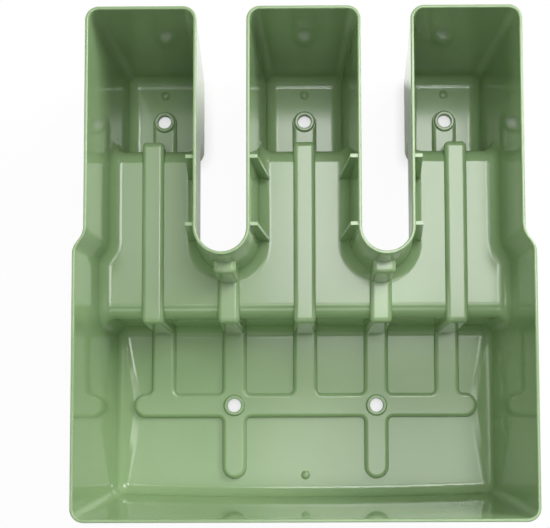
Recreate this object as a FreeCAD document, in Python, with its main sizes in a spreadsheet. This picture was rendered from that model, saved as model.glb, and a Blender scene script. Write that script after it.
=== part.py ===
import FreeCAD, Part
import os
import re
import Sketcher

# Saddle planter that straddles a wall: a front trough, a raised deck over the wall,
# and three rear pockets parted by two slots. Millimetres, +Z up, mouth up.
# The origin is the centre of the footprint, on the surface that the planter stands on.
# +Y points to the rear pockets and +X to the right hand.

SIZES = {
    # Overall form, measured outside at the rim
    "planter_width": 400.0,
    "planter_depth": 447.0,
    "planter_height": 180.0,
    "wall": 3.0,
    "draft_angle": 3.0,
    "corner_radius": 12.0,
    "fold_radius": 11.5,
    "front_bow": 4.0,
    # Shoulder where the trough's sides step in to the rear
    "shoulder_inset": 9.5,
    "shoulder_start": 11.4,
    "shoulder_length": 13.3,
    "shoulder_round": 15.6,
    "shoulder_hollow": 18.0,
    # Channel under the deck, which sits over the wall
    "channel_width": 154.0,
    "channel_centre": 38.75,
    "channel_height": 83.0,
    "channel_corner": 11.0,
    # Slots open to the rear
    "slot_gap": 43.3,
    "slot_end": 8.0,
    # Ribs over the deck and strips on the floors, placed from the rim
    "outer_rib_margin": 57.0,
    "rib_width": 20.5,
    "rib_spread": 2.0,
    "rib_height": 6.5,
    "rib_round": 4.5,
    "rib_corner": 5.5,
    "cross_strip_setback": 99.2,
    "cross_strip_margin": 27.0,
    "long_strip_setback": 25.5,
    # Buttresses that the ribs grow at the slots' ends
    "buttress_height": 143.0,
    "buttress_depth": 10.0,
    "buttress_round": 4.0,
    # Fins that brace the slot walls
    "fin_thickness": 3.0,
    "fin_front": 32.0,
    "fin_rear": 91.0,
    "fin_top_width": 6.5,
    "fin_foot_width": 9.0,
    "fin_drop": 1.8,
    # Drains and their bushes
    "pocket_drain_setback": 58.5,
    "drain_radius": 6.7,
    "bush_spigot_radius": 8.2,
    "bush_flange_radius": 11.0,
    "bush_flange_height": 3.0,
    "bush_top_radius": 9.6,
    "bush_tail": 1.5,
    "bush_round": 0.8,
    "bush_clearance": 0.1,
    "bush_seat_margin": 0.3,
    # Gate pips left by the moulding
    "pip_radius": 4.6,
    "pip_height": 2.2,
    "pip_setback": 29.1,
    # Room by which cutting forms pass the faces that they cut
    "overrun": 5.0,
    # Flat left beside the seams between the sections
    "section_margin": 2.0,
}

# Places worked out from those sizes
HALF_WIDTH = "(planter_width / 2)"
HALF_REAR = "(planter_width / 2 - shoulder_inset)"
HALF_DEPTH = "(planter_depth / 2)"
RIB_PITCH = f"(({HALF_WIDTH} - outer_rib_margin) / 2)"
STRIP_HALF = "(rib_width / 2 + rib_spread)"
CHANNEL_FRONT = "(channel_centre - channel_width / 2)"
CHANNEL_REAR = "(channel_centre + channel_width / 2)"
SIDE_SEAM = f"(({RIB_PITCH} + {HALF_REAR}) / 2)"
CROSS_STRIP = f"(cross_strip_setback - {HALF_DEPTH})"
POCKET_DRAIN = f"({HALF_DEPTH} - pocket_drain_setback)"
SLOT_END_CENTRE = "(slot_end + slot_gap / 2)"

# Two faces or points that lie closer than this are one
NEAR = 1e-3
# An edge that climbs at least this share of the height is an upright
UPRIGHT_SHARE = 0.95
# A fold stays under this share of the corner that it runs round
FOLD_SHARE = 0.92

doc = FreeCAD.newDocument("saddle_planter")
sheet = doc.addObject("Spreadsheet::Sheet", "Sizes")
for row, (alias, number) in enumerate(SIZES.items(), start=1):
    sheet.set(f"A{row}", alias)
    sheet.set(f"B{row}", str(number))
    sheet.setAlias(f"B{row}", alias)
doc.recompute()


# A formula names sizes by their aliases alone
def expression(formula):
    def qualify(word):
        return "Sizes." + word.group() if word.group() in SIZES else word.group()

    return re.sub(r"[a-z_]+", qualify, formula)


def value(formula):
    return float(sheet.evalExpression(expression(formula)))


def bind(part_object, **formulas):
    for name, formula in formulas.items():
        part_object.setExpression(name, expression(formula))


def place(part_object, x="0", y="0", z="0"):
    part_object.setExpression("Placement.Base.x", expression(x))
    part_object.setExpression("Placement.Base.y", expression(y))
    part_object.setExpression("Placement.Base.z", expression(z))
    return part_object


def rib_centre(number):
    return f"({number} * {RIB_PITCH})"


# Walls lean by the draft, so a face stands further out or in with its level
def lean(level):
    return f"((planter_height - ({level})) * tan(draft_angle))"


def offset_across(offset):
    return f"(({offset}) / cos(draft_angle))"


def around(centre, half):
    return (f"{centre} - ({half})", f"{centre} + ({half})")


def box(name, x_range, y_range, z_range):
    solid = doc.addObject("Part::Box", name)
    bind(
        solid,
        Length=f"({x_range[1]}) - ({x_range[0]})",
        Width=f"({y_range[1]}) - ({y_range[0]})",
        Height=f"({z_range[1]}) - ({z_range[0]})",
    )
    return place(solid, x_range[0], y_range[0], z_range[0])


# A block whose sides lean: its x and y ranges are given at its bottom and at its top
def tapered_block(name, bottom, top, z_range):
    solid = doc.addObject("Part::Wedge", name)
    (x_low, x_high), (y_low, y_high) = bottom
    (top_x_low, top_x_high), (top_y_low, top_y_high) = top
    bind(
        solid,
        Xmin=x_low,
        Xmax=x_high,
        Zmin=f"-({y_high})",
        Zmax=f"-({y_low})",
        X2min=top_x_low,
        X2max=top_x_high,
        Z2min=f"-({top_y_high})",
        Z2max=f"-({top_y_low})",
        Ymin=z_range[0],
        Ymax=z_range[1],
    )
    solid.Placement.Rotation = FreeCAD.Rotation(FreeCAD.Vector(1, 0, 0), 90)
    return solid


def fused(name, solids):
    solid = doc.addObject("Part::MultiFuse", name)
    solid.Shapes = solids
    return solid


def cut(name, base, tool):
    solid = doc.addObject("Part::Cut", name)
    solid.Base = base
    solid.Tool = tool
    return solid


def common(name, base, tool):
    solid = doc.addObject("Part::Common", name)
    solid.Base = base
    solid.Tool = tool
    return solid


# Rounds the edges that radius_of gives a radius, and leaves the rest sharp
def rounded(name, base, radius_of):
    doc.recompute()
    picks = []
    for number, edge in enumerate(base.Shape.Edges, start=1):
        radius = radius_of(edge)
        if radius:
            picks.append((number, radius, radius))
    solid = doc.addObject("Part::Fillet", name)
    solid.Base = base
    solid.Edges = picks
    return solid


def middle(edge):
    return edge.valueAt((edge.FirstParameter + edge.LastParameter) / 2)


def runs_along_x(edge):
    return edge.BoundBox.YLength + edge.BoundBox.ZLength < NEAR


def lies_on(edge, shape):
    return shape.distToShape(Part.Vertex(middle(edge)))[0] < NEAR


# Plan of the planter at one level, drawn sharp. A bowed front is an arc that swells to the front
def outline_sketch(name, level, inset, bow=None):
    half_front = f"{HALF_WIDTH} - {inset}"
    half_rear = f"{HALF_REAR} - {inset}"
    front = f"{inset} - {HALF_DEPTH}"
    rear = f"{HALF_DEPTH} - {inset}"
    shoulder_end = "shoulder_start + shoulder_length"
    corners = [
        (half_front, front),
        (half_front, "shoulder_start"),
        (half_rear, shoulder_end),
        (half_rear, rear),
    ]
    right = [FreeCAD.Vector(value(x), value(y), 0) for x, y in corners]
    left = [FreeCAD.Vector(-point.x, point.y, 0) for point in reversed(right)]
    points = right + left
    sketch = doc.addObject("Sketcher::SketchObject", name)
    for start, end in zip(points[:-1], points[1:]):
        sketch.addGeometry(Part.LineSegment(start, end), False)
    last = len(points) - 1
    if bow:
        swell = FreeCAD.Vector(0, right[0].y - value(bow), 0)
        sketch.addGeometry(Part.Arc(points[-1], swell, points[0]), False)
    else:
        sketch.addGeometry(Part.LineSegment(points[-1], points[0]), False)
    for line in range(last):
        sketch.addConstraint(Sketcher.Constraint("Coincident", line, 2, line + 1, 1))
    sketch.addConstraint(Sketcher.Constraint("Coincident", last, 2, 0, 1))
    for line in range(3):
        sketch.addConstraint(Sketcher.Constraint("Symmetric", line, 1, last - 1 - line, 2, -2))
    sketch.addConstraint(Sketcher.Constraint("Symmetric", 3, 1, 3, 2, -2))
    sketch.addConstraint(Sketcher.Constraint("Vertical", 0))
    sketch.addConstraint(Sketcher.Constraint("Vertical", 2))
    dimensions = [
        ("DistanceX", 0, half_front, "half_front"),
        ("DistanceY", 0, front, "front"),
        ("DistanceY", 1, "shoulder_start", "shoulder_start"),
        ("DistanceX", 2, half_rear, "half_rear"),
        ("DistanceY", 2, shoulder_end, "shoulder_end"),
        ("DistanceY", 3, rear, "rear"),
    ]
    for kind, line, formula, label in dimensions:
        index = sketch.addConstraint(Sketcher.Constraint(kind, -1, 1, line, 1, value(formula)))
        sketch.renameConstraint(index, label)
        sketch.setExpression(f"Constraints.{label}", expression(formula))
    if bow:
        radius = f"((({half_front}) ^ 2 + ({bow}) ^ 2) / 2 / ({bow}))"
        index = sketch.addConstraint(Sketcher.Constraint("Radius", last, value(radius)))
        sketch.renameConstraint(index, "bow_radius")
        sketch.setExpression("Constraints.bow_radius", expression(radius))
    return place(sketch, z=level)


# The channel and what lies over it: a leaning block with its two upper edges rounded
def saddle_block(name, offset, corner, centre="0", half_foot="planter_width", half_head="planter_width"):
    z_range = ("-overrun", f"channel_height + {offset}")
    grow = offset_across(offset)
    foot = f"(channel_width / 2 + (channel_height + overrun) * tan(draft_angle) + {grow})"
    head = f"(channel_width / 2 - ({offset}) * tan(draft_angle) + {grow})"
    bottom = (around(centre, half_foot), around("channel_centre", foot))
    top = (around(centre, half_head), around("channel_centre", head))
    block = tapered_block(f"{name}_block", bottom, top, z_range)
    head_level = value(z_range[1])
    radius = value(corner)

    def radius_of(edge):
        if runs_along_x(edge) and abs(middle(edge).z - head_level) < NEAR:
            return radius
        return 0

    return rounded(name, block, radius_of)


# One slot, grown by the offset: a leaning block that ends in a cone
def slot_block(name, side, offset):
    z_low = "-overrun"
    z_high = "(planter_height + 2 * overrun)"
    centre = rib_centre(side)
    grow = offset_across(offset)
    low = f"(slot_gap / 2 + {lean(z_low)} + {grow})"
    high = f"(slot_gap / 2 + {lean(z_high)} + {grow})"
    cone = doc.addObject("Part::Cone", f"{name}_end")
    bind(cone, Radius1=low, Radius2=high, Height=f"{z_high} - ({z_low})")
    place(cone, centre, SLOT_END_CENTRE, z_low)
    along = (SLOT_END_CENTRE, "planter_depth")
    bottom = (around(centre, low), along)
    top = (around(centre, high), along)
    run = tapered_block(f"{name}_run", bottom, top, (z_low, z_high))
    return fused(name, [cone, run])


# The planter as a full block, grown inwards by the offset: once for its outside, once for its hollow
def planter_form(name, offset, overshoot):
    base_level = offset
    rim_level = f"(planter_height + {overshoot})"
    grow = offset_across(offset)
    base_inset = f"({lean(base_level)} + {grow})"
    rim_inset = f"({lean(rim_level)} + {grow})"
    base_plan = outline_sketch(f"{name}_base_plan", base_level, base_inset, "front_bow")
    rim_plan = outline_sketch(f"{name}_rim_plan", rim_level, rim_inset)
    blank = doc.addObject("Part::Loft", f"{name}_blank")
    blank.Sections = [base_plan, rim_plan]
    blank.Solid = True
    blank.Ruled = True
    slots = fused(f"{name}_slots", [slot_block(f"{name}_slot_{side}", number, offset)
                                    for side, number in (("left", -1), ("right", 1))])
    slotted = cut(f"{name}_slotted", blank, slots)
    doc.recompute()
    full_height = slotted.Shape.BoundBox.ZLength
    corner = value(f"corner_radius - {offset}")
    shoulder_round = value(f"shoulder_round - {offset}")
    shoulder_hollow = value(f"shoulder_hollow + {offset}")
    shoulder_middle = value("shoulder_start + shoulder_length / 2")
    shoulder_reach = value("shoulder_length")
    side_limit = value(SIDE_SEAM)
    corner_zone = value(f"{HALF_DEPTH} / 2")

    def is_upright(edge):
        return edge.BoundBox.ZLength > UPRIGHT_SHARE * full_height

    def shoulder_radius(edge):
        point = middle(edge)
        at_shoulder = abs(point.y - shoulder_middle) < shoulder_reach and abs(point.x) > side_limit
        if not at_shoulder or not is_upright(edge):
            return 0
        return shoulder_round if point.y < shoulder_middle else shoulder_hollow

    shouldered = rounded(f"{name}_shouldered", slotted, shoulder_radius)
    saddle = saddle_block(f"{name}_saddle", offset, f"channel_corner + {offset}")
    saddled = cut(f"{name}_saddled", shouldered, saddle)
    doc.recompute()
    floor_level = value(base_level)
    fold = min(value("fold_radius + wall") - value(offset), FOLD_SHARE * shoulder_round)

    def fold_or_corner_radius(edge):
        on_floor = edge.BoundBox.ZMax < floor_level + NEAR
        on_saddle = lies_on(edge, saddle.Shape) and not runs_along_x(edge)
        if on_floor or on_saddle:
            return fold
        return corner if is_upright(edge) and abs(middle(edge).y) > corner_zone else 0

    return rounded(f"{name}_form", saddled, fold_or_corner_radius)


RIB_NUMBERS = (-2, -1, 0, 1, 2)
POCKET_RIBS = (-2, 0, 2)
SLOT_RIBS = (-1, 1)
SIDE_NAMES = {-2: "left", -1: "left", 0: "centre", 1: "right", 2: "right"}


def cylinder(name, radius, centre, z_range):
    solid = doc.addObject("Part::Cylinder", name)
    bind(solid, Radius=radius, Height=f"({z_range[1]}) - ({z_range[0]})")
    return place(solid, centre[0], centre[1], z_range[0])


# A rib over the saddle, or the groove under it: the inset makes the groove narrower
def rib_block(name, number, offset, inset):
    head = f"(rib_width / 2 - {inset})"
    foot = f"({head} + rib_spread * (channel_height + overrun) / channel_height)"
    return saddle_block(name, offset, f"rib_corner - {inset}", rib_centre(number), foot, head)


def rib(number):
    name = f"rib_{number + 3}"
    block = rib_block(f"{name}_sharp", number, "(wall + rib_height)", "0")
    foot_level = value("-overrun")
    radius = value("rib_round")

    def radius_of(edge):
        return 0 if runs_along_x(edge) or edge.BoundBox.ZMax < foot_level + NEAR else radius

    return rounded(name, block, radius_of)


def trough_strips(name, inset, z_range):
    half = f"({STRIP_HALF} - {inset})"
    end = f"({HALF_WIDTH} - cross_strip_margin - {STRIP_HALF})"
    tip = f"(long_strip_setback - {HALF_DEPTH} + {STRIP_HALF})"
    pieces = [box(f"{name}_cross", (f"-{end}", end), around(CROSS_STRIP, half), z_range)]
    for side in (-1, 1):
        centre = (f"{side} * {end}", CROSS_STRIP)
        pieces.append(cylinder(f"{name}_cross_end_{side + 2}", half, centre, z_range))
    for number in RIB_NUMBERS:
        start = tip if number in SLOT_RIBS else CROSS_STRIP
        across = around(rib_centre(number), half)
        pieces.append(box(f"{name}_run_{number + 3}", across, (start, CHANNEL_FRONT), z_range))
    for number in SLOT_RIBS:
        pieces.append(cylinder(f"{name}_tip_{number + 3}", half, (rib_centre(number), tip), z_range))
    return fused(name, pieces)


def pocket_strip(name, number, inset, z_range):
    half = f"({STRIP_HALF} - {inset})"
    centre = rib_centre(number)
    run = box(f"{name}_run", around(centre, half), (CHANNEL_REAR, POCKET_DRAIN), z_range)
    end = cylinder(f"{name}_end", half, (centre, POCKET_DRAIN), z_range)
    return fused(name, [run, end])


# Rounds the re-entrant uprights of crossing strips, then every upper edge that shows
def rounded_strips(strips):
    half = value(STRIP_HALF)
    radius = value("rib_round")
    cross = value(CROSS_STRIP)
    rib_places = [value(rib_centre(number)) for number in RIB_NUMBERS]
    top_level = value("wall + rib_height")
    hidden_ends = [value(CHANNEL_FRONT), value(CHANNEL_REAR)]

    def upright_radius(edge):
        point = middle(edge)
        upright = edge.BoundBox.XLength + edge.BoundBox.YLength < NEAR
        beside_cross = abs(abs(point.y - cross) - half) < NEAR
        beside_rib = any(abs(abs(point.x - place_x) - half) < NEAR for place_x in rib_places)
        return radius if upright and beside_cross and beside_rib else 0

    def top_radius(edge):
        hidden = any(abs(middle(edge).y - end) < NEAR for end in hidden_ends)
        return radius if edge.BoundBox.ZMin > top_level - NEAR and not hidden else 0

    doc.recompute()
    base = strips
    if any(upright_radius(edge) for edge in strips.Shape.Edges):
        base = rounded(f"{strips.Name}_jointed", strips, upright_radius)
    return rounded(f"{strips.Name}_rounded", base, top_radius)


# Thin plates between the deck and the rim, on both faces of each slot wall
def fin(name, number, face, centre_y):
    foot_level = "channel_height"
    top_level = "(planter_height - fin_drop)"
    ranges = []
    for level, width in ((foot_level, "fin_foot_width"), (top_level, "fin_top_width")):
        near = f"(slot_gap / 2 + {lean(level)})"
        far = f"({near} + {offset_across('wall')} + {width})"
        x_range = [f"{rib_centre(number)} + {face} * {reach}" for reach in (near, far)]
        x_range = x_range if face > 0 else x_range[::-1]
        ranges.append((x_range, around(centre_y, "fin_thickness / 2")))
    return tapered_block(name, ranges[0], ranges[1], (foot_level, top_level))


# The rib's climb up the slot's end wall, or the groove behind it
def buttress(name, number, offset, inset, top_level):
    slot = slot_block(f"{name}_slot", number, offset)
    across = around(rib_centre(number), f"rib_width / 2 - {inset}")
    behind = (f"-{HALF_DEPTH}", SLOT_END_CENTRE)
    window = box(f"{name}_window", across, behind, ("channel_height", top_level))
    return common(name, slot, window)


def rounded_buttress(name, number):
    sharp = buttress(f"{name}_sharp", number, "(wall + buttress_depth)", "0", "buttress_height")
    foot_level = value("channel_height")
    back = value(SLOT_END_CENTRE)
    radius = value("buttress_round")

    def radius_of(edge):
        at_foot = edge.BoundBox.ZMax < foot_level + NEAR
        at_back = edge.BoundBox.YMin > back - NEAR
        return 0 if at_foot or at_back else radius

    return rounded(name, sharp, radius_of)


# A shallow dome standing on the floor, cut from a sphere
def pip(name, x, y):
    sphere_radius = "((pip_radius ^ 2 + pip_height ^ 2) / 2 / pip_height)"
    solid = doc.addObject("Part::Sphere", name)
    bind(solid, Radius=sphere_radius)
    return place(solid, x, y, f"wall + pip_height - {sphere_radius}")


# Every place that has a drain: its name, its rib and its distance to the rear
DRAINS = [(f"{SIDE_NAMES[number]}_pocket", number, POCKET_DRAIN) for number in POCKET_RIBS]
DRAINS += [(f"{SIDE_NAMES[number]}_trough", number, CROSS_STRIP) for number in SLOT_RIBS]


def raised_features():
    strip_levels = ("0", "wall + rib_height")
    features = [rib(number) for number in RIB_NUMBERS]
    features.append(rounded_strips(trough_strips("trough_strips", "0", strip_levels)))
    for name, number, centre_y in DRAINS:
        centre = (rib_centre(number), centre_y)
        seat_radius = "bush_flange_radius + bush_seat_margin"
        features.append(cylinder(f"{name}_drain_seat", seat_radius, centre, strip_levels))
    for number in POCKET_RIBS:
        strip = pocket_strip(f"pocket_strip_{number + 3}", number, "0", strip_levels)
        features.append(rounded_strips(strip))
        features.append(pip(f"pocket_pip_{number + 3}", rib_centre(number), f"{HALF_DEPTH} - pip_setback"))
    features.append(pip("trough_pip", "0", f"pip_setback - {HALF_DEPTH}"))
    for number in SLOT_RIBS:
        features.append(rounded_buttress(f"buttress_{number + 3}", number))
        for face in (-1, 1):
            for centre_y in ("fin_front", "fin_rear"):
                features.append(fin(f"{centre_y}_{number + 3}_{face + 2}", number, face, centre_y))
    return fused("raised_features", features)


def sunk_features():
    groove_levels = ("-overrun", "rib_height")
    features = [rib_block(f"groove_{number + 3}", number, "rib_height", "wall") for number in RIB_NUMBERS]
    features.append(trough_strips("trough_grooves", "wall", groove_levels))
    for number in POCKET_RIBS:
        features.append(pocket_strip(f"pocket_groove_{number + 3}", number, "wall", groove_levels))
    for number in SLOT_RIBS:
        name = f"buttress_groove_{number + 3}"
        features.append(buttress(name, number, "buttress_depth", "wall", "buttress_height - wall"))
    return fused("sunk_features", features)


def drain_holes():
    radius = "bush_spigot_radius + bush_clearance"
    levels = ("-overrun", "wall + rib_height + overrun")
    holes = [cylinder(f"{name}_hole", radius, (rib_centre(number), centre_y), levels)
             for name, number, centre_y in DRAINS]
    return fused("drain_holes", holes)


def planter_moulding():
    outside = cut("grooved_outside", planter_form("outside", "0", "0"), sunk_features())
    hollow = cut("ribbed_hollow", planter_form("hollow", "wall", "overrun"), raised_features())
    return cut("moulding", cut("undrained_moulding", outside, hollow), drain_holes())


# The moulding's sections meet face to face, on planes where the deck and the walls are plain
def moulding_sections(moulding):
    front_seam = f"({CHANNEL_FRONT} + channel_corner + section_margin)"
    rear_seam = f"({CHANNEL_REAR} - channel_corner - section_margin)"
    deck_seam = "(channel_height + wall + max(fold_radius; rib_height) + section_margin)"
    full_x = ("-planter_width", "planter_width")
    full_z = ("-overrun", "planter_height + overrun")
    saddle_y = (front_seam, rear_seam)
    rear_y = (rear_seam, "planter_depth")
    upper_z = (deck_seam, full_z[1])
    regions = {
        "front_trough": (full_x, ("-planter_depth", front_seam), full_z),
        "saddle_deck": (full_x, saddle_y, (full_z[0], deck_seam)),
        "left_side_wall": ((full_x[0], f"-{SIDE_SEAM}"), saddle_y, upper_z),
        "left_slot_wall": ((f"-{SIDE_SEAM}", "0"), saddle_y, upper_z),
        "right_slot_wall": (("0", SIDE_SEAM), saddle_y, upper_z),
        "right_side_wall": ((SIDE_SEAM, full_x[1]), saddle_y, upper_z),
        "left_pocket": ((full_x[0], rib_centre(-1)), rear_y, full_z),
        "centre_pocket": ((rib_centre(-1), rib_centre(1)), rear_y, full_z),
        "right_pocket": ((rib_centre(1), full_x[1]), rear_y, full_z),
    }
    return [common(name, moulding, box(f"{name}_region", *ranges)) for name, ranges in regions.items()]


# A turned bush: a flange that sits on the strip and a spigot through the floor
def drain_bush(name, x, y):
    body = doc.addObject("PartDesign::Body", name)
    tail = "(-wall - bush_tail)"
    corners = [
        ("drain_radius", tail),
        ("bush_spigot_radius", tail),
        ("bush_spigot_radius", "0"),
        ("bush_flange_radius", "0"),
        ("bush_top_radius", "bush_flange_height"),
        ("drain_radius", "bush_flange_height"),
    ]
    points = [FreeCAD.Vector(value(radius), value(level), 0) for radius, level in corners]
    sketch = body.newObject("Sketcher::SketchObject", f"{name}_profile")
    plane = [item for item in body.Origin.OriginFeatures if item.Role == "XZ_Plane"][0]
    sketch.AttachmentSupport = (plane, [""])
    sketch.MapMode = "FlatFace"
    for index, start in enumerate(points):
        sketch.addGeometry(Part.LineSegment(start, points[(index + 1) % len(points)]), False)
    for index, (radius, level) in enumerate(corners):
        following = (index + 1) % len(corners)
        sketch.addConstraint(Sketcher.Constraint("Coincident", index, 2, following, 1))
        for kind, formula in (("DistanceX", radius), ("DistanceY", level)):
            dimension = Sketcher.Constraint(kind, -1, 1, index, 1, value(formula))
            number = sketch.addConstraint(dimension)
            sketch.setExpression(f"Constraints[{number}]", expression(formula))
    turned = body.newObject("PartDesign::Revolution", f"{name}_turned")
    turned.Profile = sketch
    turned.ReferenceAxis = (sketch, ["V_Axis"])
    turned.Angle = 360
    doc.recompute()
    top_level = value("bush_flange_height")
    top_edges = [f"Edge{number}" for number, edge in enumerate(turned.Shape.Edges, start=1)
                 if edge.BoundBox.ZMin > top_level - NEAR]
    softened = body.newObject("PartDesign::Fillet", f"{name}_softened")
    softened.Base = (turned, top_edges)
    bind(softened, Radius="bush_round")
    body.Tip = softened
    return place(body, x, y, "wall + rib_height")


nodes = moulding_sections(planter_moulding())
for name, number, centre_y in DRAINS:
    nodes.append(drain_bush(f"{name}_drain_bush", rib_centre(number), centre_y))
doc.recompute()

for item in doc.Objects:
    if "Invalid" in item.State or "Error" in item.State:
        raise RuntimeError(f"{item.Label} failed: {item.State}")
for node in nodes:
    if node.Shape.isNull() or not node.Shape.isValid():
        raise RuntimeError(f"{node.Label} has no valid shape")
    if len(node.Shape.Solids) != 1:
        raise RuntimeError(f"{node.Label} has {len(node.Shape.Solids)} solids")

os.makedirs("parts", exist_ok=True)
for node in nodes:
    node.Shape.exportStep(f"parts/{node.Label}.step")
    print(f"{node.Label}: {node.Shape.Volume / 1000:.1f} cm3")
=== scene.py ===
import math

import bmesh
import bpy
from mathutils import Euler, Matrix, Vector
from mathutils.kdtree import KDTree


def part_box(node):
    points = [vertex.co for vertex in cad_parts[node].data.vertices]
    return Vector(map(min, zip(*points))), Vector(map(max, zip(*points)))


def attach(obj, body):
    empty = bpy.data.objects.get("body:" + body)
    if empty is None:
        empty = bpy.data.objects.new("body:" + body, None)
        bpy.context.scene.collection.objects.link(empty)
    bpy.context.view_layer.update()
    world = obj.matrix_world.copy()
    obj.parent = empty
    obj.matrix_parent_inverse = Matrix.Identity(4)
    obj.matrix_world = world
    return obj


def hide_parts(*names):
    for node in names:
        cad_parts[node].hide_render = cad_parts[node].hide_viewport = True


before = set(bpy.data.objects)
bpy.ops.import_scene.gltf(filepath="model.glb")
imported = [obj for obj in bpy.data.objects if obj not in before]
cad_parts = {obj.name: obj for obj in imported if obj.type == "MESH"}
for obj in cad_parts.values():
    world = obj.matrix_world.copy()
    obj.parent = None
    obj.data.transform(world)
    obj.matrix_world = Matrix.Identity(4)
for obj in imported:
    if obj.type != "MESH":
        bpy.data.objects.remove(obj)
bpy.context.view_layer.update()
scene = bpy.context.scene
scene.view_settings.view_transform = "Standard"
mm = 0.001
print("frame loaded:", len(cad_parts), "nodes")


# sRGB hex to a linear colour with alpha
def hexColour(code):
    channels = [int(code[start:start + 2], 16) / 255 for start in (1, 3, 5)]
    linear = [c / 12.92 if c <= 0.04045 else ((c + 0.055) / 1.055) ** 2.4 for c in channels]
    return (*linear, 1.0)


# adds one node, sets its properties and input values, and links what feeds it
def addNode(tree, kind, settings=None, values=None, links=None):
    node = tree.nodes.new(kind)
    for name, setting in (settings or {}).items():
        setattr(node, name, setting)
    for name, number in (values or {}).items():
        node.inputs[name].default_value = number
    for name, source in (links or {}).items():
        tree.links.new(source, node.inputs[name])
    return node


def emptyTree(owner):
    owner.use_nodes = True
    owner.node_tree.nodes.clear()
    return owner.node_tree


def perMetre(size):
    return 1 / (size * mm)  # texture scale for a pattern of that size in millimetres


# Injection-moulded polypropylene: the tool is polished along the draw, so upright walls mirror what is
# near them and flat ones have a satin gloss. The melt's flow leaves soft clouds of slightly lighter and
# darker green, and shrinkage leaves a faint orange peel.
mouldedGreen = {
    "deepColour": "#90ac7c",
    "paleColour": "#99b486",
    "flowSize": 70,          # mm, clouds left by the flowing melt
    "flowDetail": 3,
    "peelSize": 3.5,         # mm, orange peel drawn coarse enough to show
    "peelDetail": 1,
    "peelHeight": 0.004,     # mm
    "satin": (0.15, 0.2),    # roughness of flat faces, from the dark clouds to the light ones
    "polish": 0.06,          # roughness of upright walls
    "wallLean": (0.1, 0.4),  # rise of a face's normal, over which the polish gives way to satin
    "ior": 1.58,             # polypropylene is about 1.49; a little more matches its gloss here
}


def makePolypropylene(name, finish):
    material = bpy.data.materials.new(name)
    tree = emptyTree(material)
    coordinates = addNode(tree, "ShaderNodeTexCoord").outputs
    flow = addNode(tree, "ShaderNodeTexNoise",
                   values={"Scale": perMetre(finish["flowSize"]), "Detail": finish["flowDetail"]},
                   links={"Vector": coordinates["Object"]})
    colour = addNode(tree, "ShaderNodeMix", {"data_type": "RGBA"}, links={"Factor": flow.outputs["Fac"]})
    colour.inputs["A"].default_value = hexColour(finish["deepColour"])
    colour.inputs["B"].default_value = hexColour(finish["paleColour"])
    least, most = finish["satin"]
    satin = addNode(tree, "ShaderNodeMapRange", values={"To Min": least, "To Max": most},
                    links={"Value": flow.outputs["Fac"]})
    normal = addNode(tree, "ShaderNodeSeparateXYZ", links={"Vector": coordinates["Normal"]})
    rise = addNode(tree, "ShaderNodeMath", {"operation": "ABSOLUTE"}, links={0: normal.outputs["Z"]})
    upright, flat = finish["wallLean"]
    flatness = addNode(tree, "ShaderNodeMapRange", values={"From Min": upright, "From Max": flat},
                       links={"Value": rise.outputs["Value"]})
    gloss = addNode(tree, "ShaderNodeMix", values={"A": finish["polish"]},
                    links={"Factor": flatness.outputs["Result"], "B": satin.outputs["Result"]})
    peel = addNode(tree, "ShaderNodeTexNoise",
                   values={"Scale": perMetre(finish["peelSize"]), "Detail": finish["peelDetail"]},
                   links={"Vector": coordinates["Object"]})
    bump = addNode(tree, "ShaderNodeBump", values={"Distance": finish["peelHeight"] * mm, "Strength": 1.0},
                   links={"Height": peel.outputs["Fac"]})
    shader = addNode(tree, "ShaderNodeBsdfPrincipled", values={"IOR": finish["ior"]},
                     links={"Base Color": colour.outputs["Result"], "Roughness": gloss.outputs["Result"],
                            "Normal": bump.outputs["Normal"]})
    addNode(tree, "ShaderNodeOutputMaterial", links={"Surface": shader.outputs["BSDF"]})
    return material


polypropylene = makePolypropylene("mouldedPolypropylene", mouldedGreen)
print("materials made")


# The moulding: one skin over all its sections, with a rounded rim
moulding = {
    "sections": ["front_trough", "saddle_deck", "left_side_wall", "right_side_wall", "left_slot_wall",
                 "right_slot_wall", "left_pocket", "centre_pocket", "right_pocket"],
    "weld": 0.002,         # mm, closer points are one point
    "zipReach": 0.3,       # mm, how far the two sides of a seam may part
    "gapSides": 4,         # a gap that the zip leaves has at most so many sides
    "rimRound": 1.15,      # mm
    "rimFoot": 0.4,        # mm, the stretch of wall that makes room for the rounding
    "rimSteps": 4,
    "longFacet": 6,        # mm, facets with shorter edges stay as they are
    "foldLean": 12,        # degrees, how far a long facet's edge may swing as it is turned
    "flatAngle": 0.1,      # degrees, triangles that turn less are one flat face
    "sharpAngle": 32,      # degrees, folds that turn more stay sharp
}


# the planes on which two sections meet, from the boxes of the sections themselves
def seamPlanes():
    deckLow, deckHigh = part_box("saddle_deck")
    return [("y", deckLow.y), ("y", deckHigh.y), ("z", deckHigh.z)]


def liesOn(face, plane, reach):
    axis, level = plane
    return all(abs(getattr(vert.co, axis) - level) < reach for vert in face.verts)


# the edges with a face on one side only, and their points, each once and in a fixed order
def openBorder(shape):
    edges = [edge for edge in shape.edges if edge.is_boundary]
    verts = list(dict.fromkeys(vert for edge in edges for vert in edge.verts))
    return edges, verts


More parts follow.
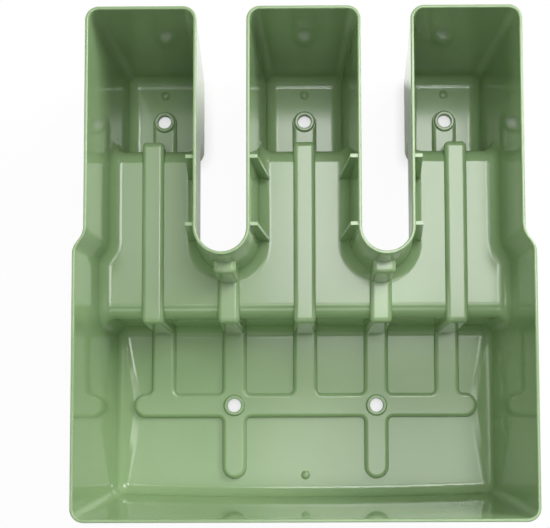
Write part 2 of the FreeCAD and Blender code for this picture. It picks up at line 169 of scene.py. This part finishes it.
# gives both sides of an open seam the same points, so that they weld into one skin
def zipSeams(shape, reach):
    openEdges, openVerts = openBorder(shape)
    nearby = KDTree(len(openVerts))
    for index, vert in enumerate(openVerts):
        nearby.insert(vert.co, index)
    nearby.balance()
    for edge in openEdges:
        first, last = (vert.co.copy() for vert in edge.verts)
        along = last - first
        shares = []
        for place, _, _ in nearby.find_range((first + last) / 2, along.length / 2):
            share = (place - first).dot(along) / along.length_squared
            apart = min(share, 1 - share) * along.length
            if apart > reach and (first + along * share - place).length < reach:
                shares.append(share)
        start, done = edge.verts[0], 0.0
        for share in sorted(shares):
            start = bmesh.utils.edge_split(edge, start, (share - done) / (1 - done))[1]
            done = share
    bmesh.ops.remove_doubles(shape, verts=openBorder(shape)[1], dist=reach)


# the way into the rim's flat at each of its points, as long as keeps the rim's edges parallel
def wayInwards(runs):
    ways = {}
    for start, end in runs:
        along = (end.co - start.co).normalized()
        for vert in (start, end):
            ways.setdefault(vert, []).append(Vector((-along.y, along.x, 0)))
    return {vert: (first + last) / (1 + first.dot(last)) for vert, (first, last) in ways.items()}


# rounds the rim: the walls' tops are let down, the flat is drawn in, and strips of faces turn
# from one to the other
def roundRim(shape, radius, steps):
    top = max(vert.co.z for vert in shape.verts)
    rimLevel = top - moulding["weld"] * mm
    flat = [face for face in shape.faces if all(vert.co.z > rimLevel for vert in face.verts)]
    inFlat = set(flat)
    runs = [(loop.vert, loop.link_loop_next.vert) for face in flat for loop in face.loops
            if not inFlat.issuperset(loop.edge.link_faces)]
    corners = [list(face.verts) for face in flat]
    bmesh.ops.delete(shape, geom=flat, context="FACES_ONLY")
    foot = top - radius - moulding["rimFoot"] * mm
    for vert in shape.verts:
        if vert.co.z > foot:
            vert.co.z = foot + (vert.co.z - foot) * (top - radius - foot) / (top - foot)
    rings = {}
    for vert, way in wayInwards(runs).items():
        rings[vert] = [vert]
        for step in range(1, steps + 1):
            turn = math.pi / 2 * step / steps
            place = vert.co + way * radius * (1 - math.cos(turn))
            place.z = top - radius * (1 - math.sin(turn))
            rings[vert].append(shape.verts.new(place))
    for start, end in runs:
        for step in range(steps):
            above = step + 1
            shape.faces.new((rings[start][step], rings[end][step], rings[end][above], rings[start][above]))
    for verts in corners:
        shape.faces.new([rings[vert][-1] for vert in verts])


# whether an edge between two facets of a fold is better turned: the other way is shorter, crosses it
# and keeps to the fold
def betterTurned(edge):
    if len(edge.link_faces) != 2 or any(len(face.verts) != 3 for face in edge.link_faces):
        return False
    if edge.calc_face_angle() > math.radians(moulding["sharpAngle"]):
        return False
    along = edge.verts[1].co - edge.verts[0].co
    tips = [vert.co for face in edge.link_faces for vert in face.verts if vert not in edge.verts]
    across = tips[1] - tips[0]
    sides = [across.cross(vert.co - tips[0]) for vert in edge.verts]
    shorter = along.length - across.length > moulding["weld"] * mm
    leans = min(along.angle(across), along.angle(-across)) > math.radians(moulding["foldLean"])
    crosses = sides[0].angle(-sides[1], math.pi) < math.radians(moulding["sharpAngle"])
    return shorter and crosses and not leans


# turns the long facets of the folds, so that their edges run straight along them
def straightenFolds(shape):
    candidates = [edge for edge in shape.edges if edge.calc_length() > moulding["longFacet"] * mm]
    turned = True
    while turned:
        turned = False
        for place, edge in enumerate(candidates):
            if betterTurned(edge):
                candidates[place] = bmesh.utils.edge_rotate(edge, True)
                for face in candidates[place].link_faces:
                    face.normal_update()
                turned = True


def makeMoulding():
    shape = bmesh.new()
    for name in moulding["sections"]:
        shape.from_mesh(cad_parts[name].data)
    weld = moulding["weld"] * mm
    bmesh.ops.remove_doubles(shape, verts=shape.verts, dist=weld)
    planes = seamPlanes()
    inner = [face for face in shape.faces if any(liesOn(face, plane, weld) for plane in planes)]
    bmesh.ops.delete(shape, geom=inner, context="FACES")
    zipSeams(shape, moulding["zipReach"] * mm)
    bmesh.ops.holes_fill(shape, edges=openBorder(shape)[0], sides=moulding["gapSides"])
    roundRim(shape, moulding["rimRound"] * mm, moulding["rimSteps"])
    bmesh.ops.delete(shape, geom=[edge for edge in shape.edges if edge.is_wire], context="EDGES")
    straightenFolds(shape)
    bmesh.ops.dissolve_limit(shape, angle_limit=math.radians(moulding["flatAngle"]), verts=shape.verts,
                             edges=shape.edges)
    print("open edges left in the moulding:", len(openBorder(shape)[0]))
    shape.normal_update()
    mesh = bpy.data.meshes.new("planterMoulding")
    shape.to_mesh(mesh)
    shape.free()
    mesh.attributes.remove(mesh.attributes["custom_normal"])  # the sections' own, no longer true
    mesh.shade_smooth()
    mesh.set_sharp_from_angle(angle=math.radians(moulding["sharpAngle"]))
    mesh.materials.append(polypropylene)
    piece = bpy.data.objects.new("planterMoulding", mesh)
    scene.collection.objects.link(piece)
    normals = piece.modifiers.new("flatsStayFlat", "WEIGHTED_NORMAL")
    normals.mode = "FACE_AREA_WITH_ANGLE"
    normals.keep_sharp = True
    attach(piece, "root")
    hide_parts(*moulding["sections"])
    return piece


planterMoulding = makeMoulding()
print("moulding made:", len(planterMoulding.data.polygons), "faces")


# Drain bushes: one turned ring, pushed into each drain hole as far as its foot; in millimetres
drainBush = {
    "Bore Radius": 6.7,
    "Spigot Radius": 8.2,
    "Foot Radius": 11.0,
    "Lip Radius": 9.6,
    "Spigot Length": 4.5,
    "Lip Height": 3.0,
    "Lip Round": 0.8,
    "Edge Round": 0.25,
}
bushTurning = {"facets": 64, "roundSteps": 4, "sharpAngle": 32}


# the ring's outline is drawn downwards from the seat and swept round the bore, once for each seat
def makeBushTree():
    tree = bpy.data.node_groups.new("turnedBushes", "GeometryNodeTree")
    tree.interface.new_socket("Seats", in_out="INPUT", socket_type="NodeSocketGeometry")
    for name in drainBush:
        tree.interface.new_socket(name, in_out="INPUT", socket_type="NodeSocketFloat")
    tree.interface.new_socket("Material", in_out="INPUT", socket_type="NodeSocketMaterial")
    tree.interface.new_socket("Bushes", in_out="OUTPUT", socket_type="NodeSocketGeometry")
    given = addNode(tree, "NodeGroupInput").outputs
    lipTop = addNode(tree, "ShaderNodeMath", {"operation": "MULTIPLY"}, {1: -1.0}, {0: given["Lip Height"]})
    lip = lipTop.outputs["Value"]
    tail = given["Spigot Length"]
    seat = addNode(tree, "ShaderNodeValue").outputs["Value"]
    seat.default_value = 0.0
    corners = [("Bore Radius", lip), ("Lip Radius", lip), ("Foot Radius", seat), ("Spigot Radius", seat),
               ("Spigot Radius", tail), ("Bore Radius", tail)]
    lipCorners = 2  # the first corners of the outline are the lip's, and have the larger round
    number = addNode(tree, "GeometryNodeInputIndex").outputs["Index"]
    corner = addNode(tree, "GeometryNodeIndexSwitch", {"data_type": "VECTOR"}, links={"Index": number})
    while len(corner.index_switch_items) < len(corners):
        corner.index_switch_items.new()
    for item, (radius, depth) in enumerate(corners):
        out = addNode(tree, "ShaderNodeMath", {"operation": "SUBTRACT"},
                      links={0: given[radius], 1: given["Bore Radius"]})
        point = addNode(tree, "ShaderNodeCombineXYZ", links={"X": out.outputs[0], "Y": depth})
        tree.links.new(point.outputs[0], corner.inputs[str(item)])
    line = addNode(tree, "GeometryNodeCurvePrimitiveLine")
    dots = addNode(tree, "GeometryNodeResampleCurve", values={"Count": len(corners)},
                   links={"Curve": line.outputs["Curve"]})
    outline = addNode(tree, "GeometryNodeSetPosition", links={"Geometry": dots.outputs["Curve"],
                                                              "Position": corner.outputs[0]})
    closed = addNode(tree, "GeometryNodeSetSplineCyclic", values={"Cyclic": True},
                     links={"Geometry": outline.outputs["Geometry"]})
    pastLip = addNode(tree, "FunctionNodeCompare", {"data_type": "INT", "operation": "GREATER_EQUAL"},
                      {3: lipCorners}, {2: number})
    easing = addNode(tree, "GeometryNodeSwitch", {"input_type": "FLOAT"},
                     links={"Switch": pastLip.outputs["Result"], "False": given["Lip Round"],
                            "True": given["Edge Round"]})
    eased = addNode(tree, "GeometryNodeFilletCurve", {"mode": "POLY"},
                    {"Count": bushTurning["roundSteps"], "Limit Radius": True},
                    {"Curve": closed.outputs["Geometry"], "Radius": easing.outputs["Output"]})
    bore = addNode(tree, "GeometryNodeCurvePrimitiveCircle", values={"Resolution": bushTurning["facets"]},
                   links={"Radius": given["Bore Radius"]})
    ring = addNode(tree, "GeometryNodeCurveToMesh", links={"Curve": bore.outputs["Curve"],
                                                           "Profile Curve": eased.outputs["Curve"]})
    seated = addNode(tree, "GeometryNodeInstanceOnPoints", links={"Points": given["Seats"],
                                                                  "Instance": ring.outputs["Mesh"]})
    real = addNode(tree, "GeometryNodeRealizeInstances", links={"Geometry": seated.outputs["Instances"]})
    coated = addNode(tree, "GeometryNodeSetMaterial", links={"Geometry": real.outputs["Geometry"],
                                                             "Material": given["Material"]})
    addNode(tree, "NodeGroupOutput", links={"Bushes": coated.outputs["Geometry"]})
    return tree


def makeBushes():
    nodes = [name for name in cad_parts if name.endswith("drain_bush")]
    seats = []
    for low, high in (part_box(name) for name in nodes):
        seats.append(((low.x + high.x) / 2, (low.y + high.y) / 2, high.z - drainBush["Lip Height"] * mm))
    dots = bpy.data.meshes.new("bushSeats")
    dots.from_pydata(seats, [], [])
    piece = bpy.data.objects.new("drainBushes", dots)
    scene.collection.objects.link(piece)
    tree = makeBushTree()
    turning = piece.modifiers.new("turning", "NODES")
    turning.node_group = tree
    for socket in tree.interface.items_tree:
        if socket.name in drainBush:
            turning[socket.identifier] = drainBush[socket.name] * mm
        elif socket.name == "Material":
            turning[socket.identifier] = polypropylene
    piece.data = bpy.data.meshes.new_from_object(piece.evaluated_get(bpy.context.evaluated_depsgraph_get()))
    piece.modifiers.remove(turning)
    piece.data.shade_smooth()
    piece.data.set_sharp_from_angle(angle=math.radians(bushTurning["sharpAngle"]))
    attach(piece, "root")
    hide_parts(*nodes)
    return piece


bushes = makeBushes()
print("drain bushes made:", len(bushes.data.polygons), "faces")


# Stage: a pale floor that looks white to the camera and keeps the planter's shadow; in nooks by the
# planter, such as down in the drains, an ambient-occlusion mask lowers its white, which is painted shade
stage = {
    "floorColour": "#fafafa",
    "floorSize": 8000,     # mm
    "floorGap": 0.3,       # mm below the feet, so that the two flats don't flicker
    "whiteness": 0.95,     # share of the floor's look that is plain white, in the open
    "paintedShadeWhiteness": 0.5,  # and where the ambient-occlusion mask finds a nook, such as down in the drains: painted shade
    "paintedShadeReach": 14,        # mm, how far the ambient occlusion that paints the shade in nooks reaches
    "mirroredWhiteness": 0.1,  # and where the planter's gloss mirrors it
    "white": "#ffffff",
}


def makeFloor():
    material = bpy.data.materials.new("paleFloorPaint")
    tree = emptyTree(material)
    paint = addNode(tree, "ShaderNodeBsdfDiffuse", values={"Color": hexColour(stage["floorColour"])})
    glow = addNode(tree, "ShaderNodeEmission", values={"Color": hexColour(stage["white"]), "Strength": 1.0})
    path = addNode(tree, "ShaderNodeLightPath")
    # painted shade: ambient occlusion darkens the floor's white where the planter closes round it, as in
    # the drains
    paintedShadeMask = addNode(tree, "ShaderNodeAmbientOcclusion", values={"Distance": stage["paintedShadeReach"] * mm})
    white = addNode(tree, "ShaderNodeMapRange",
                    values={"To Min": stage["paintedShadeWhiteness"], "To Max": stage["whiteness"]},
                    links={"Value": paintedShadeMask.outputs["AO"]})
    seen = addNode(tree, "ShaderNodeMath", {"operation": "MULTIPLY"},
                   links={0: path.outputs["Is Camera Ray"], 1: white.outputs["Result"]})
    share = addNode(tree, "ShaderNodeMath", {"operation": "MULTIPLY_ADD"}, {1: stage["mirroredWhiteness"]},
                    {0: path.outputs["Is Glossy Ray"], 2: seen.outputs["Value"]})
    mixed = addNode(tree, "ShaderNodeMixShader", links={0: share.outputs["Value"], 1: paint.outputs["BSDF"],
                                                        2: glow.outputs["Emission"]})
    addNode(tree, "ShaderNodeOutputMaterial", links={"Surface": mixed.outputs["Shader"]})
    half = stage["floorSize"] * mm / 2
    low = -stage["floorGap"] * mm
    corners = [(-half, -half, low), (half, -half, low), (half, half, low), (-half, half, low)]
    mesh = bpy.data.meshes.new("paleFloor")
    mesh.from_pydata(corners, [], [(0, 1, 2, 3)])
    mesh.materials.append(material)
    floor = bpy.data.objects.new("paleFloor", mesh)
    scene.collection.objects.link(floor)


makeFloor()


# Studio light: a key from the rear right, panels overhead, the brightest above the rear, and fills
# around; places, aims and sizes in millimetres
lamps = {
    "keySoftbox": {"place": (1500, 1000, 1300), "aim": (0, 0, 90), "size": (1200, 1000), "watts": 37},
    "rearPanel": {"place": (265, 450, 1900), "aim": (265, 450, 0), "size": (790, 740), "watts": 13.5},
    "troughPanel": {"place": (255, -315, 1900), "aim": (255, -315, 0), "size": (770, 370), "watts": 4},
    "leftPanel": {"place": (-415, -315, 1900), "aim": (-415, -315, 0), "size": (570, 370), "watts": 1.2},
    "leftRearPanel": {"place": (-540, 400, 1900), "aim": (-540, 400, 0), "size": (420, 600), "watts": 2.2},
    "frontFill": {"place": (-100, -1500, 1350), "aim": (0, 0, 90), "size": (1000, 600), "watts": 4},
    "leftFill": {"place": (-1700, 100, 780), "aim": (0, 0, 150), "size": (1000, 600), "watts": 6},
    "rightFill": {"place": (1700, 300, 800), "aim": (0, 0, 150), "size": (1000, 600), "watts": 2},
}
surround = {"colour": "#ffffff", "strength": 0.05, "backdrop": 1.0}


def makeLamps():
    for name, lamp in lamps.items():
        data = bpy.data.lights.new(name, "AREA")
        data.shape = "RECTANGLE"
        data.size, data.size_y = (side * mm for side in lamp["size"])
        data.energy = lamp["watts"]
        item = bpy.data.objects.new(name, data)
        item.location = Vector(lamp["place"]) * mm
        aim = Vector(lamp["aim"]) * mm - item.location
        item.rotation_euler = aim.to_track_quat("-Z", "Y").to_euler()
        scene.collection.objects.link(item)


# the surround is dim as a light, and white where the camera sees it beyond the floor
def makeSurround():
    world = bpy.data.worlds.new("studio")
    tree = emptyTree(world)
    path = addNode(tree, "ShaderNodeLightPath")
    level = addNode(tree, "ShaderNodeMapRange",
                    values={"To Min": surround["strength"], "To Max": surround["backdrop"]},
                    links={"Value": path.outputs["Is Camera Ray"]})
    light = addNode(tree, "ShaderNodeBackground", values={"Color": hexColour(surround["colour"])},
                    links={"Strength": level.outputs["Result"]})
    addNode(tree, "ShaderNodeOutputWorld", links={"Surface": light.outputs["Background"]})
    scene.world = world


makeLamps()
makeSurround()


# Camera: looks almost straight down into the mouth; in millimetres, degrees and picture pixels
lensView = {
    "place": (3.51, -125.08, 1113.56),
    "turn": (3.657, 0.36, -0.191),
    "focalPixels": 1095.07,
    "axisPixel": (302.0, 336.0),  # where the lens points
    "picture": (550, 528),
    "sensor": 36.0,
    "farthest": 20000,
}


def makeCamera():
    data = bpy.data.cameras.new("camera")
    width, height = lensView["picture"]
    data.sensor_width = lensView["sensor"]
    data.lens = lensView["focalPixels"] * lensView["sensor"] / width
    across, down = lensView["axisPixel"]
    data.shift_x = (width / 2 - across) / width
    data.shift_y = (down - height / 2) / width
    data.clip_end = lensView["farthest"] * mm
    item = bpy.data.objects.new("camera", data)
    item.location = Vector(lensView["place"]) * mm
    item.rotation_euler = Euler([math.radians(angle) for angle in lensView["turn"]])
    scene.collection.objects.link(item)
    scene.camera = item


makeCamera()
print("stage, lamps and camera made")
